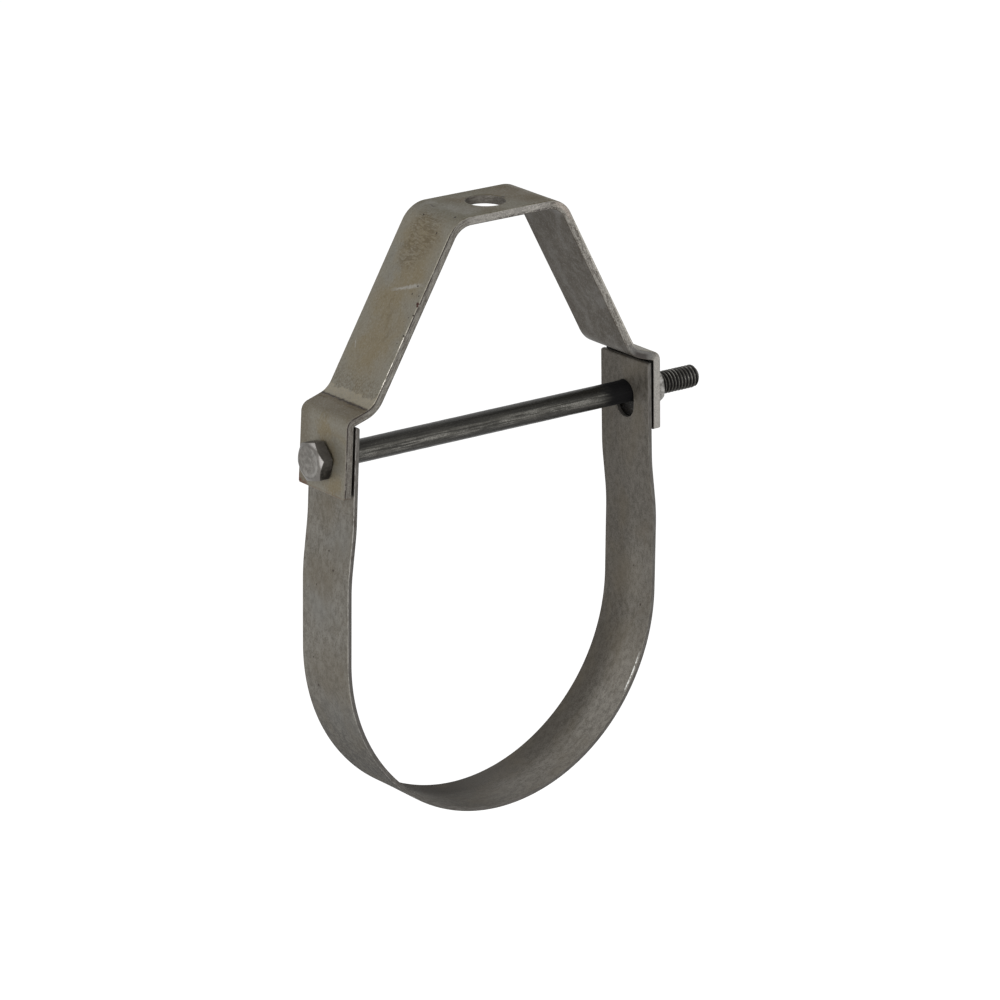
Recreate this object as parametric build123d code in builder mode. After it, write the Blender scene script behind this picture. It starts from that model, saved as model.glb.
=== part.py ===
from build123d import *
import math
import os

# Clevis hanger for a 4 inch pipe on a 1/2 inch rod, in millimetres.
# X runs across the hanger along the cross bolt, Y along the pipe, Z up.
# The origin is on the rod hole's axis, at the top plate's underside, where the rod's nut bears.

# Strip stock
strip_width = 25.4
yoke_thickness = 3.0
strap_thickness = 1.6
edge_break = 0.3

# Lower strap: a U whose ears are joggled in and lean in towards their tops, under the yoke's ears
pipe_seat_radius = 63.4
bolt_over_pipe = 4.6
joggle_depth_left = 2.0
joggle_depth_right = 2.3
strap_ear_lean = 1.8
joggle_top_drop = 22.5
joggle_foot_drop = 40.4
joggle_bend_radius = 80.0
slot_width = 9.6
slot_height = 13.2
end_rollover = 0.9
end_skew = 1.4
end_trim = 0.1

# Upper yoke: flat top, sloping legs, shelves, and ears that flare out towards their ends
rod_hole_diameter = 13.5
yoke_half_width = 66.0
top_half_length_left = 21.7
top_half_length_right = 22.9
leg_angle_left = 30.0
ear_inset_left = 0.4
ear_inset_right = 0.7
ear_flare_left = 2.5
ear_flare_right = 1.6
shelf_run = 10.5
shelf_drop = 3.2
ear_above_bolt = 15.85
ear_below_bolt = 11.0
top_bend_radius = 7.8
shelf_bend_radius = 8.0
ear_bend_radius = 0.6
ear_corner_radius = 0.8

# Cross bolt, 5/16-18, and its nut; the threads themselves are finer than this model
bolt_diameter = 7.94
bolt_past_nut = 17.7
point_diameter = 6.2
hex_across_flats = 12.7
head_height = 5.1
head_face_diameter = 12.0
nut_height = 6.6
nut_mouth_chamfer = 0.5
hex_chamfer_angle = 30.0
head_turn = 166.0
nut_turn = 198.0

# Clearances between the pieces
running_clearance = 0.08
head_gap = 0.1
nut_gap = 0.2
ear_top_gap = 0.7

# Places worked out from the sizes, left and right where the two sides differ
hex_radius = hex_across_flats / 2 / math.cos(math.radians(30))
shelf_end_left = yoke_half_width - ear_inset_left
shelf_end_right = yoke_half_width - ear_inset_right
leg_foot_left = shelf_end_left - shelf_run
leg_foot_right = shelf_end_right - shelf_run
leg_drop = (leg_foot_left - top_half_length_left) / math.tan(math.radians(leg_angle_left))
leg_foot_z = yoke_thickness - leg_drop
shelf_end_z = leg_foot_z - shelf_drop
bolt_z = shelf_end_z - ear_above_bolt
flare_left = math.tan(math.radians(ear_flare_left))
flare_right = math.tan(math.radians(ear_flare_right))
ear_length = ear_above_bolt + ear_below_bolt

strap_outer_radius = pipe_seat_radius + strap_thickness
seat_center_z = bolt_z - bolt_over_pipe - pipe_seat_radius
joggle_top_z = bolt_z - joggle_top_drop
joggle_left = strap_outer_radius - joggle_depth_left
joggle_right = strap_outer_radius - joggle_depth_right
shelf_slope = shelf_drop / shelf_run
shelf_underside_z = (
    shelf_end_z
    + (yoke_half_width - joggle_right) * shelf_slope
    - yoke_thickness * math.hypot(1, shelf_slope)
)
strap_top_z = shelf_underside_z - ear_top_gap
strap_ear_length = strap_top_z - joggle_top_z
strap_lean = math.tan(math.radians(strap_ear_lean))
strap_top_left = joggle_left - strap_ear_length * strap_lean
strap_top_right = joggle_right - strap_ear_length * strap_lean
slot_top_z = bolt_z + bolt_diameter / 2 + running_clearance

# The head and the nut clear the flared ears at their lowest corners
corner_below_shelf = ear_above_bolt + hex_radius
head_face_x = -(shelf_end_left + corner_below_shelf * flare_left + head_gap)
nut_face_x = shelf_end_right + corner_below_shelf * flare_right + nut_gap
bolt_length = nut_face_x + nut_height + bolt_past_nut - head_face_x
bolt_bore = bolt_diameter + 2 * running_clearance

os.makedirs("parts", exist_ok=True)


# Upper yoke
with BuildPart() as upper_yoke:
    with BuildSketch(Plane.XZ):
        with BuildLine() as yoke_outline:
            yoke_left = [
                (-shelf_end_left - ear_length * flare_left, shelf_end_z - ear_length),
                (-shelf_end_left, shelf_end_z),
                (-leg_foot_left, leg_foot_z),
                (-top_half_length_left, yoke_thickness),
            ]
            yoke_right = [
                (top_half_length_right, yoke_thickness),
                (leg_foot_right, leg_foot_z),
                (shelf_end_right, shelf_end_z),
                (shelf_end_right + ear_length * flare_right, shelf_end_z - ear_length),
            ]
            Polyline(*yoke_left, *yoke_right)
            corners = yoke_outline.vertices().group_by(Axis.Y)
            fillet(corners[3], top_bend_radius + yoke_thickness)
            fillet(corners[2], shelf_bend_radius)
            fillet(corners[1], ear_bend_radius + yoke_thickness)
            offset(amount=yoke_thickness, side=Side.RIGHT)
        make_face()
    extrude(amount=strip_width / 2, both=True)
    ear_ends = upper_yoke.faces().sort_by(Axis.Z)[:2]
    fillet(ear_ends.edges().filter_by(Axis.Y, reverse=True), ear_corner_radius)
    sheared_sides = upper_yoke.faces().filter_by(Plane.XZ)
    chamfer(sheared_sides.edges(), edge_break)
    with BuildSketch(Plane.XY):
        Circle(rod_hole_diameter / 2)
    extrude(amount=yoke_thickness, mode=Mode.SUBTRACT)
    with BuildSketch(Plane.YZ):
        with Locations((0, bolt_z)):
            Circle(bolt_bore / 2)
    extrude(amount=-head_face_x, both=True, mode=Mode.SUBTRACT)
upper_yoke.part.label = "upper_yoke"
export_step(upper_yoke.part, "parts/upper_yoke.step")


# Lower strap
with BuildPart() as lower_strap:
    with BuildSketch(Plane.XZ):
        with BuildLine() as strap_outline:
            strap_left = [
                (-strap_top_left, strap_top_z),
                (-joggle_left, joggle_top_z),
                (-strap_outer_radius, bolt_z - joggle_foot_drop),
                (-strap_outer_radius, seat_center_z),
            ]
            strap_right = [
                (strap_outer_radius, seat_center_z),
                (strap_outer_radius, bolt_z - joggle_foot_drop),
                (joggle_right, joggle_top_z),
                (strap_top_right, strap_top_z),
            ]
            Polyline(*strap_left)
            seat_bottom = (0, seat_center_z - strap_outer_radius)
            ThreePointArc(strap_left[-1], seat_bottom, strap_right[0])
            Polyline(*strap_right)
            corners = strap_outline.vertices().group_by(Axis.Y)
            fillet(corners[1] + corners[2], joggle_bend_radius)
            offset(amount=strap_thickness, side=Side.LEFT)
        make_face()
    extrude(amount=strip_width / 2, both=True)
    # The right ear's end was cut a little out of square, lower at the back
    cut_plane = Plane(
        origin=(strap_top_right, -strip_width / 2, strap_top_z - end_trim),
        x_dir=(1, 0, 0),
        z_dir=(0, math.sin(math.radians(end_skew)), math.cos(math.radians(end_skew))),
    )
    with BuildSketch(cut_plane):
        Rectangle(4 * strap_thickness, 3 * strip_width)
    extrude(amount=2 * strap_thickness, mode=Mode.SUBTRACT)
    ends = lower_strap.faces().sort_by(Axis.Z)[-2:]
    inner_end_edges = ends.edges().sort_by(lambda edge: abs(edge.center().X))[:2]
    fillet(inner_end_edges, end_rollover)
    sheared_sides = lower_strap.faces().filter_by(Plane.XZ)
    chamfer(sheared_sides.edges(), edge_break)
    with BuildSketch(Plane.YZ):
        with Locations((0, slot_top_z - slot_height / 2)):
            SlotOverall(slot_height, slot_width, rotation=90)
    extrude(amount=strap_outer_radius, both=True, mode=Mode.SUBTRACT)
lower_strap.part.label = "lower_strap"
export_step(lower_strap.part, "parts/lower_strap.step")


# Cross bolt
chamfer_slope = math.tan(math.radians(hex_chamfer_angle))
head_corner_depth = (hex_radius - head_face_diameter / 2) * chamfer_slope
bolt_axis = Axis((0, 0, bolt_z), (1, 0, 0))

with BuildPart() as cross_bolt:
    with BuildSketch(Plane.YZ.offset(head_face_x)):
        with Locations((0, bolt_z)):
            RegularPolygon(hex_across_flats / 2, 6, major_radius=False, rotation=head_turn)
    extrude(amount=-head_height)
    with BuildSketch(Plane.XZ):
        with BuildLine():
            Polyline(
                (head_face_x, bolt_z),
                (head_face_x, bolt_z + hex_radius),
                (head_face_x - head_height + head_corner_depth, bolt_z + hex_radius),
                (head_face_x - head_height, bolt_z + head_face_diameter / 2),
                (head_face_x - head_height, bolt_z),
                close=True,
            )
        make_face()
    revolve(axis=bolt_axis, mode=Mode.INTERSECT)
    with BuildSketch(Plane.YZ.offset(head_face_x)):
        with Locations((0, bolt_z)):
            Circle(bolt_diameter / 2)
    extrude(amount=bolt_length)
    point = cross_bolt.faces().sort_by(Axis.X)[-1]
    point_chamfer = (bolt_diameter - point_diameter) / 2
    chamfer(point.edges(), point_chamfer)
cross_bolt.part.label = "cross_bolt"
export_step(cross_bolt.part, "parts/cross_bolt.step")


# Hex nut
corner_depth = (hex_radius - hex_across_flats / 2) * chamfer_slope

with BuildPart() as hex_nut:
    with BuildSketch(Plane.YZ.offset(nut_face_x)):
        with Locations((0, bolt_z)):
            RegularPolygon(hex_across_flats / 2, 6, major_radius=False, rotation=nut_turn)
    extrude(amount=nut_height)
    with BuildSketch(Plane.XZ):
        with BuildLine():
            Polyline(
                (nut_face_x, bolt_z),
                (nut_face_x, bolt_z + hex_across_flats / 2),
                (nut_face_x + corner_depth, bolt_z + hex_radius),
                (nut_face_x + nut_height - corner_depth, bolt_z + hex_radius),
                (nut_face_x + nut_height, bolt_z + hex_across_flats / 2),
                (nut_face_x + nut_height, bolt_z),
                close=True,
            )
        make_face()
    revolve(axis=bolt_axis, mode=Mode.INTERSECT)
    with BuildSketch(Plane.YZ.offset(nut_face_x)):
        with Locations((0, bolt_z)):
            Circle(bolt_bore / 2)
    extrude(amount=nut_height, mode=Mode.SUBTRACT)
    circles = hex_nut.edges().filter_by(GeomType.CIRCLE)
    mouths = circles.group_by(SortBy.RADIUS)[0]
    chamfer(mouths, nut_mouth_chamfer)
hex_nut.part.label = "hex_nut"
export_step(hex_nut.part, "parts/hex_nut.step")
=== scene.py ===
import math

import bmesh
import bpy
import numpy as np
from mathutils import Matrix, Vector


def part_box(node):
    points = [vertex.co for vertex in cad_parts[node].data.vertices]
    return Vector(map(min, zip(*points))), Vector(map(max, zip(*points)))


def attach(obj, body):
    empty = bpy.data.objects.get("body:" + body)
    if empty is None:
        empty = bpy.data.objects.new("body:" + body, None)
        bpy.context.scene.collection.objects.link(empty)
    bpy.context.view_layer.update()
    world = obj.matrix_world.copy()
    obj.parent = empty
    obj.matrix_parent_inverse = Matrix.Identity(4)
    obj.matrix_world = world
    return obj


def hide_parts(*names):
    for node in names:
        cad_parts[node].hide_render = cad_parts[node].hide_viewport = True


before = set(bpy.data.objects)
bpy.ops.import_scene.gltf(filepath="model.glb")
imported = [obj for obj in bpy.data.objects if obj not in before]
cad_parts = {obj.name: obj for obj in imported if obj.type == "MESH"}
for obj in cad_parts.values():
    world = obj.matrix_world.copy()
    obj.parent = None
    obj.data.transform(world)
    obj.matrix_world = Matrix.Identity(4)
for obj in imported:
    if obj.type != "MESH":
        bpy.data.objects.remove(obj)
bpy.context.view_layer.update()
mm = 0.001  # shapes are worked out in millimetres, meshes hold metres


# Lowest and highest corner of a CAD node, in millimetres
def nodeBox(node):
    low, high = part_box(node)
    return np.array(low) / mm, np.array(high) / mm


yokeHigh = nodeBox("upper_yoke")[1]
strapLow, strapHigh = nodeBox("lower_strap")
boltLow, boltHigh = nodeBox("cross_bolt")
nutLow, nutHigh = nodeBox("hex_nut")
boltZ = (boltLow[2] + boltHigh[2]) / 2  # the cross bolt's axis


# Random waves: a sum of sines in random directions, most of them longer than the given size
def ripples(points, size, seed, waves=40):
    rng = np.random.default_rng(seed)
    directions = rng.normal(size=(waves, points.shape[-1])) * (3.0 / np.asarray(size, float))
    phases = rng.uniform(0, 2 * math.pi, waves)
    return np.sin(points @ directions.T + phases).sum(axis=-1) / math.sqrt(waves / 2)


# Equal points become one point, and a quad that loses a corner that way becomes a triangle
def weldedMesh(name, points, quads, attributes, sharpAngle):
    keys = np.round(points / 1e-4).astype(np.int64)
    first, inverse = np.unique(keys, axis=0, return_index=True, return_inverse=True)[1:]
    quads = inverse.reshape(-1)[quads]
    same = quads == np.roll(quads, -1, axis=1)
    single = same.sum(axis=1) == 1
    triangles = [np.delete(quads[same[:, k] & single], k, axis=1) for k in range(4)]
    mesh = bpy.data.meshes.new(name)
    faces = quads[~same.any(axis=1)].tolist() + np.vstack(triangles).tolist()
    mesh.from_pydata(points[first] * mm, [], faces)
    for label, values in attributes.items():
        kind, key = ("FLOAT_VECTOR", "vector") if values.ndim == 2 else ("FLOAT", "value")
        layer = mesh.attributes.new(label, kind, "POINT")
        layer.data.foreach_set(key, values[first].astype(np.float32).ravel())
    shell = bmesh.new()
    shell.from_mesh(mesh)
    bmesh.ops.recalc_face_normals(shell, faces=shell.faces)
    openEdges = sum(not edge.is_manifold for edge in shell.edges)
    shell.to_mesh(mesh)
    shell.free()
    mesh.shade_smooth()
    mesh.set_sharp_from_angle(angle=math.radians(sharpAngle))
    print(name, "has", len(mesh.polygons), "faces and", openEdges, "open edges")
    return mesh


# Rows of points, each row joined to the next by quads; a closed row's last point joins its first
def gridQuads(rows, columns, closed):
    row, column = np.meshgrid(np.arange(rows - 1), np.arange(columns - (not closed)), indexing="ij")
    here, after = row * columns + column, row * columns + (column + 1) % columns
    return np.stack([here, after, after + columns, here + columns], axis=-1).reshape(-1, 4)


# A path of straights and round bends, as pieces of a length and a turn
def bentPath(corners, radii):
    legs = np.diff(np.array(corners, float), axis=0)
    headings = np.unwrap(np.arctan2(legs[:, 1], legs[:, 0]))
    turns = np.diff(headings)
    trims = np.concatenate([[0], np.array(radii) * np.tan(np.abs(turns) / 2), [0]])
    straights = np.hypot(legs[:, 0], legs[:, 1]) - trims[:-1] - trims[1:]
    pieces = [(straights[0], 0.0)]
    for radius, turn, straight in zip(radii, turns, straights[1:]):
        pieces += [(radius * abs(turn), turn), (straight, 0.0)]
    length = sum(piece[0] for piece in pieces)
    return {"start": corners[0], "heading": headings[0], "pieces": pieces, "length": length}


# The integral of (cos heading, sin heading) over distance u, the heading turning at an even rate
def pieceReach(heading, rate, u):
    if rate == 0:
        return np.cos(heading) * u, np.sin(heading) * u
    end = heading + rate * u
    return (np.sin(end) - np.sin(heading)) / rate, (np.cos(heading) - np.cos(end)) / rate


# Place and heading at each distance s along a path: start + the reach of the pieces up to s
def alongPath(path, s):
    (x, z), heading, begin = path["start"], path["heading"], 0.0
    place, angle = np.zeros(s.shape + (2,)), np.zeros(s.shape)
    for length, turn in path["pieces"]:
        if length < 1e-6:
            continue
        here, rate = s >= begin - 1e-9, turn / length
        dx, dz = pieceReach(heading, rate, s[here] - begin)
        place[here] = np.stack([x + dx, z + dz], axis=-1)
        angle[here] = heading + rate * (s[here] - begin)
        dx, dz = pieceReach(heading, rate, length)
        x, z, heading, begin = x + dx, z + dz, heading + turn, begin + length
    return place, angle


# Distance from a slot's centre to its outline: a circle's radius, or where a ray meets the sides
# |y| = half width or the round ends centred half a straight away
def slotReach(angle, halfLength, halfWidth):
    c, n = np.abs(np.cos(angle)), np.abs(np.sin(angle))
    straight = halfLength - halfWidth
    toSide = halfWidth / np.maximum(n, 1e-9)
    toEnd = straight * c + np.sqrt(np.maximum(halfWidth**2 - (straight * n) ** 2, 0))
    return np.where(toSide * c <= straight, toSide, toEnd)


# Grid lines from 0 to the length: the given ones near both ends, and even steps between them
def gridLines(length, near, step):
    first, last = near[-1] + 0.5, length - near[-1] - 0.5
    steps = np.linspace(first, last, round((last - first) / step) + 1)
    return np.concatenate([near, steps, length - near[::-1]])


# A bent strip. The flat blank is a rounded rectangle in (s, y); faces at t = thickness and t = 0 are
# grids, and rings of (inset, share of thickness, share of cut) join them round the outline and through
# each hole, whose walls may slant by so much s per mm of depth. The blank is then bent:
# point = place(s) + normal(s) * (t - thickness), with y across
def stripMesh(name, strip):
    path = bentPath(strip["corners"], strip["bends"])
    length, half = path["length"], strip["width"] / 2
    thick, corner = strip["thickness"], strip["cornerRadius"]
    insets, shares, cuts = np.array(strip["rim"], float).T[:, :, None]
    inset = insets[0, 0]
    cornerCut = corner - inset
    near = inset + np.array([0, 0.3, 0.6, 1.0]) * cornerCut
    sLines = gridLines(length, np.append(near, corner + np.array([0.12, 0.3, 0.5, 0.8])), strip["sStep"])
    yLines = gridLines(2 * half, np.append(near, corner + 0.5), strip["yStep"]) - half
    s, y = np.meshgrid(sLines, yLines, indexing="ij")

    # corners of the plan: the square map (u, v) -> (u sqrt(1 - v v / 2), v sqrt(1 - u u / 2)) onto a disc
    u = np.clip((corner - np.minimum(s, length - s)) / cornerCut, 0, 1)
    v = np.clip((corner - (half - np.abs(y))) / cornerCut, 0, 1)
    inCorner = (u > 0) & (v > 0)
    discU, discV = u * np.sqrt(1 - v * v / 2), v * np.sqrt(1 - u * u / 2)
    sSide, ySide = np.sign(s - length / 2), np.sign(y)
    s = np.where(inCorner, s - sSide * cornerCut * (u - discU), s)
    y = np.where(inCorner, y - ySide * cornerCut * (v - discV), y)

    rows, columns = s.shape
    numbers = np.arange(rows * columns).reshape(rows, columns)

    def loopOf(i0, i1, j0, j1):
        sides = [numbers[i0:i1, j0], numbers[i1, j0:j1], numbers[i1:i0:-1, j1], numbers[i0, j1:j0:-1]]
        return np.concatenate(sides)

    outline = loopOf(0, rows - 1, 0, columns - 1)
    atEnd = (np.arange(rows)[:, None] % (rows - 1) == 0) & ~inCorner
    atSide = (np.arange(columns)[None, :] % (columns - 1) == 0) & ~inCorner
    normalS = np.where(atEnd, sSide, np.where(inCorner, discU, 0) * sSide).ravel()[outline]
    normalY = np.where(atSide, ySide, np.where(inCorner, discV, 0) * ySide).ravel()[outline]
    size = np.hypot(normalS, normalY)
    normalS, normalY = normalS / size, normalY / size

    # both faces, less the grid's cells round each hole
    keep = np.ones((rows - 1, columns - 1), bool)
    holes = []
    for hole in strip["holes"]:
        reachS, reachY = hole["halfLength"] + hole["margin"], hole["halfWidth"] + hole["margin"]
        i0, i1 = np.searchsorted(sLines, [hole["s"] - reachS, hole["s"] + reachS])
        j0, j1 = np.searchsorted(yLines, [-reachY, reachY])
        keep[i0:i1, j0:j1] = False
        holes.append((hole, loopOf(i0, i1, j0, j1)))
    face = gridQuads(rows, columns, False)[keep.ravel()]
    parts = [(s, y, np.full(s.shape, share), np.zeros(s.shape), face) for share in (1.0, 0.0)]

    # the outline's rings, with the waves that a shear leaves on the cut
    ringS = s.ravel()[outline] + normalS * (inset - insets)
    ringY = y.ravel()[outline] + normalY * (inset - insets)
    ringT, edge = np.broadcast_to(shares, ringS.shape), np.broadcast_to(cuts, ringS.shape)
    spots = np.stack([ringS, np.sign(ringY) * 40, ringT * thick], axis=-1)
    rough = ripples(spots, (9, 9, 9), strip["seed"]) + 0.6 * ripples(spots, (2.2, 5, 1.2), strip["seed"] + 1)
    push = strip["cutWave"] * (np.clip(rough, -2.5, 0.5) - 0.5) * cuts
    quads = gridQuads(len(insets), len(outline), True)
    parts.append((ringS + normalS * push, ringY + normalY * push, ringT, edge, quads))

    # a hole's rings: from the loop in the grid to the rim of the hole, down its wall and out again
    for hole, loop in holes:
        loopS, loopY = s.ravel()[loop] - hole["s"], y.ravel()[loop]
        angle = np.arctan2(loopY, loopS)
        steps = [(1.0, 0, 1, 0), (0.6, 0.3, 1, 0), (0.3, 0.3, 1, 0)]
        steps += [(0.0, *ring) for ring in holeRim]
        steps += [(0.3, 0.3, 0, 0), (0.6, 0.3, 0, 0), (1.0, 0, 0, 0)]
        share, back, depth, wall = np.array(steps).T[:, :, None]
        reach = slotReach(angle, hole["halfLength"], hole["halfWidth"])
        radius = (reach + back) * (1 - share) + np.hypot(loopS, loopY) * share
        ringS = hole["s"] + radius * np.cos(angle) + hole["slant"] * thick * (1 - depth) * (1 - share)
        ringT, edge = np.broadcast_to(depth, radius.shape), np.broadcast_to(wall, radius.shape)
        parts.append((ringS, radius * np.sin(angle), ringT, edge, gridQuads(len(steps), len(loop), True)))

    flatS, flatY, flatT, edge = (np.concatenate([part[k].ravel() for part in parts]) for k in range(4))
    starts = np.cumsum([0] + [part[0].size for part in parts[:-1]])
    quads = np.vstack([part[4] + start for part, start in zip(parts, starts)])

    # the ends' inner edges roll over: a quarter circle lifts t = 0 towards the end
    roll = strip["endRollover"]
    inRoll = np.clip(roll - np.minimum(flatS, length - flatS), 0, roll)
    lift = roll - np.sqrt(roll**2 - inRoll**2)
    flatT = lift + (thick - lift) * flatT
    # the strip isn't quite flat: long shallow waves, always inwards of the true faces
    wave = ripples(np.stack([flatS, flatY], axis=-1), strip["waveSize"], strip["seed"] + 2)
    dent = strip["wave"] * (np.clip(wave, -2, 2) - 2) / 4
    tilt = math.tan(math.radians(strip["endSkew"])) * (flatY + half)
    cutS = flatS - tilt * np.clip((flatS - length + strip["skewReach"]) / strip["skewReach"], 0, 1)
    place, heading = alongPath(path, cutS)
    off = strip["side"] * (flatT - thick + dent)
    bentX, bentZ = place[:, 0] - np.sin(heading) * off, place[:, 1] + np.cos(heading) * off
    points = np.stack([bentX, flatY, bentZ], axis=-1)
    blank = np.stack([flatS, flatY, flatT], axis=-1)
    return weldedMesh(name, points, quads, {"blank": blank, "cut": edge}, 50)


# A ring of angles about the bolt's axis, from one of the hexagon's corners, and the hexagon's distance
# along each, its corners softened: a / (sum of cos^p) ^ (1 / p) over the flats
def hexRing(piece, sharpness=70):
    angle = np.radians(piece["turn"]) + np.arange(piece["around"]) * 2 * math.pi / piece["around"]
    flats = np.radians(piece["turn"] + 30) + np.arange(6) * math.pi / 3
    facing = np.maximum(np.cos(angle[:, None] - flats), 0)
    return angle, piece["acrossFlats"] / 2 / (facing**sharpness).sum(axis=1) ** (1 / sharpness)


# Rows round the bolt's axis: point = (x, r cos a, axis height + r sin a). Scale leaves shallow waves, always
# inwards, on rows wider than the bare radius
def turnedMesh(name, piece, x, radius, angle, bare):
    around = np.stack([radius * np.cos(angle), radius * np.sin(angle)], axis=-1)
    x = np.broadcast_to(x[:, None, None], radius.shape + (1,))
    wave = ripples(np.concatenate([x, around], axis=-1), piece["scaleSize"], piece["seed"])
    radius = radius + piece["scaleDepth"] * (np.clip(wave, -2, 2) - 2) * (radius > bare)
    points = np.stack([x[:, :, 0], radius * np.cos(angle), boltZ + radius * np.sin(angle)], axis=-1)
    return weldedMesh(name, points.reshape(-1, 3), gridQuads(*radius.shape, True), {}, 28)


# Upper yoke: a 3 mm strip, its outer face's corners from the left ear's end up to the top and down
# again. Pairs hold the left and the right value
yoke = {
    "width": 2 * yokeHigh[1],
    "thickness": 3.0,
    "halfWidth": 66.0,
    "topHalves": (21.7, 22.9),
    "earInsets": (0.4, 0.7),
    "earFlares": (2.5, 1.6),
    "shelfRun": 10.5,
    "shelfDrop": 3.2,
    "earAboveBolt": 15.85,
    "earBelowBolt": 11.0,
    "bends": [3.6, 8.0, 10.8, 10.8, 8.0, 3.6],
    "boltHoleRadius": 4.05,
    "rodHoleRadius": 6.75,
    "holeMargin": 2.2,
    "cornerRadius": 0.8,
    "sStep": 0.5,
    "yStep": 0.9,
    "rim": [(0.34, 1, 0), (0.2, 0.99, 0), (0.09, 0.965, 0.1), (0.02, 0.93, 0.5), (0, 0.88, 1),
            (0, 0.76, 1), (0, 0.64, 1), (0, 0.5, 1), (0, 0.36, 1), (0, 0.22, 1), (0, 0.11, 1),
            (0.03, 0.05, 0.6), (0.1, 0.01, 0.1), (0.2, 0, 0), (0.34, 0, 0)],
    "cutWave": 0.04,
    "endRollover": 0.3,
    "wave": 0.1,
    "waveSize": (34, 20),
    "endSkew": 0,
    "skewReach": 8,
    "side": 1,
    "seed": 11,
}
holeRim = [(0.3, 1, 0), (0.12, 0.985, 0.2), (0.03, 0.95, 0.7), (0, 0.9, 1), (0, 0.6, 1), (0, 0.3, 1),
           (0, 0.1, 1), (0.04, 0.03, 0.6), (0.12, 0, 0.1)]


def yokeSide(y, k):
    shelfEnd, shelfZ = y["halfWidth"] - y["earInsets"][k], boltZ + y["earAboveBolt"]
    earLength = y["earAboveBolt"] + y["earBelowBolt"]
    earEnd = shelfEnd + earLength * math.tan(math.radians(y["earFlares"][k]))
    foot = (shelfEnd - y["shelfRun"], shelfZ + y["shelfDrop"])
    return [(y["topHalves"][k], yokeHigh[2]), foot, (shelfEnd, shelfZ), (earEnd, shelfZ - earLength)]


def holeAt(s, halfLength, halfWidth, margin, slant):
    return {"s": s, "halfLength": halfLength, "halfWidth": halfWidth, "margin": margin, "slant": slant}


yokeLeft = [(-x, z) for x, z in yokeSide(yoke, 0)[::-1]]
yoke["corners"] = yokeLeft + yokeSide(yoke, 1)
yokeLength = bentPath(yoke["corners"], yoke["bends"])["length"]
yokeMiddle = bentPath(yokeLeft + [(0, yokeHigh[2])], yoke["bends"][:3])["length"]  # the rod hole, at x = 0
flareLeft, flareRight = (math.radians(flare) for flare in yoke["earFlares"])
boltHole, rodHole = [yoke["boltHoleRadius"]] * 2, [yoke["rodHoleRadius"]] * 2
yoke["holes"] = [
    holeAt(yoke["earBelowBolt"] / math.cos(flareLeft), *boltHole, yoke["holeMargin"], math.tan(flareLeft)),
    holeAt(yokeMiddle, *rodHole, yoke["holeMargin"], 0),
    holeAt(yokeLength - yoke["earBelowBolt"] / math.cos(flareRight), *boltHole, yoke["holeMargin"],
           -math.tan(flareRight)),
]

# Lower strap: a 1.6 mm strip, from the left ear's end down round the pipe seat and up again
strap = {
    "width": 2 * strapHigh[1],
    "thickness": 1.6,
    "joggleDepths": (2.0, 2.3),
    "earLean": 1.8,
    "endTrims": (0, 0.1),
    "joggleTopDrop": 22.5,
    "joggleFootDrop": 40.4,
    "joggleBend": 80.0,
    "slotHalfHeight": 6.6,
    "slotHalfWidth": 4.8,
    "slotTopOverBolt": 4.05,
    "slotMargin": 1.6,
    "cornerRadius": 0.4,
    "sStep": 0.55,
    "yStep": 0.9,
    "rim": [(0.25, 1, 0), (0.14, 0.985, 0), (0.05, 0.95, 0.2), (0, 0.86, 1), (0, 0.7, 1), (0, 0.5, 1),
            (0, 0.3, 1), (0, 0.15, 1), (0.04, 0.06, 0.5), (0.12, 0.01, 0), (0.25, 0, 0)],
    "cutWave": 0.012,
    "endRollover": 0.9,
    "wave": 0.12,
    "waveSize": (40, 24),
    "endSkew": 1.4,
    "skewReach": 8,
    "side": -1,
    "seed": 23,
}


def strapSide(s, k):
    joggleTop = (strapHigh[0] - s["joggleDepths"][k], boltZ - s["joggleTopDrop"])
    endZ = strapHigh[2] - s["endTrims"][k]
    endX = joggleTop[0] - (endZ - joggleTop[1]) * math.tan(math.radians(s["earLean"]))
    return [(endX, endZ), joggleTop, (strapHigh[0], boltZ - s["joggleFootDrop"]), (strapHigh[0], strapLow[2])]


# The slots' centres lie the same drop below both ends, measured along the leaning ears
def strapSlots(s):
    lean = math.radians(s["earLean"])
    drop = strapHigh[2] - (boltZ + s["slotTopOverBolt"] - s["slotHalfHeight"])
    size = (s["slotHalfHeight"], s["slotHalfWidth"], s["slotMargin"])
    right = strapLength - (drop - s["endTrims"][1]) / math.cos(lean)
    return [holeAt(drop / math.cos(lean), *size, -math.tan(lean)), holeAt(right, *size, math.tan(lean))]


strap["corners"] = [(-x, z) for x, z in strapSide(strap, 0)] + strapSide(strap, 1)[::-1]
strap["bends"] = [strap["joggleBend"]] * 2 + [strapHigh[0]] * 2 + [strap["joggleBend"]] * 2
strapLength = bentPath(strap["corners"], strap["bends"])["length"]
strap["holes"] = strapSlots(strap)

# Cross bolt: hexagon head, plain shank and rolled thread
bolt = {
    "around": 144,
    "headHeight": 5.1,
    "acrossFlats": 12.7,
    "turn": 166,
    "chamferAngle": 27,
    "topRadius": 5.6,
    "faceRadius": 6.0,
    "washerHeight": 0.34,
    "dish": 0.12,
    "dishRadius": 4.6,
    "radius": 3.97,
    "neckFillet": 0.35,
    "pitch": 25.4 / 18,
    "threadDepth": 0.85,
    "threadLength": 28.6,
    "rowsPerPitch": 14,
    "shankRows": 70,
    "pointRadius": 3.1,
    "scaleDepth": 0.012,
    "scaleSize": 3.4,
    "seed": 31,
}


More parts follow.
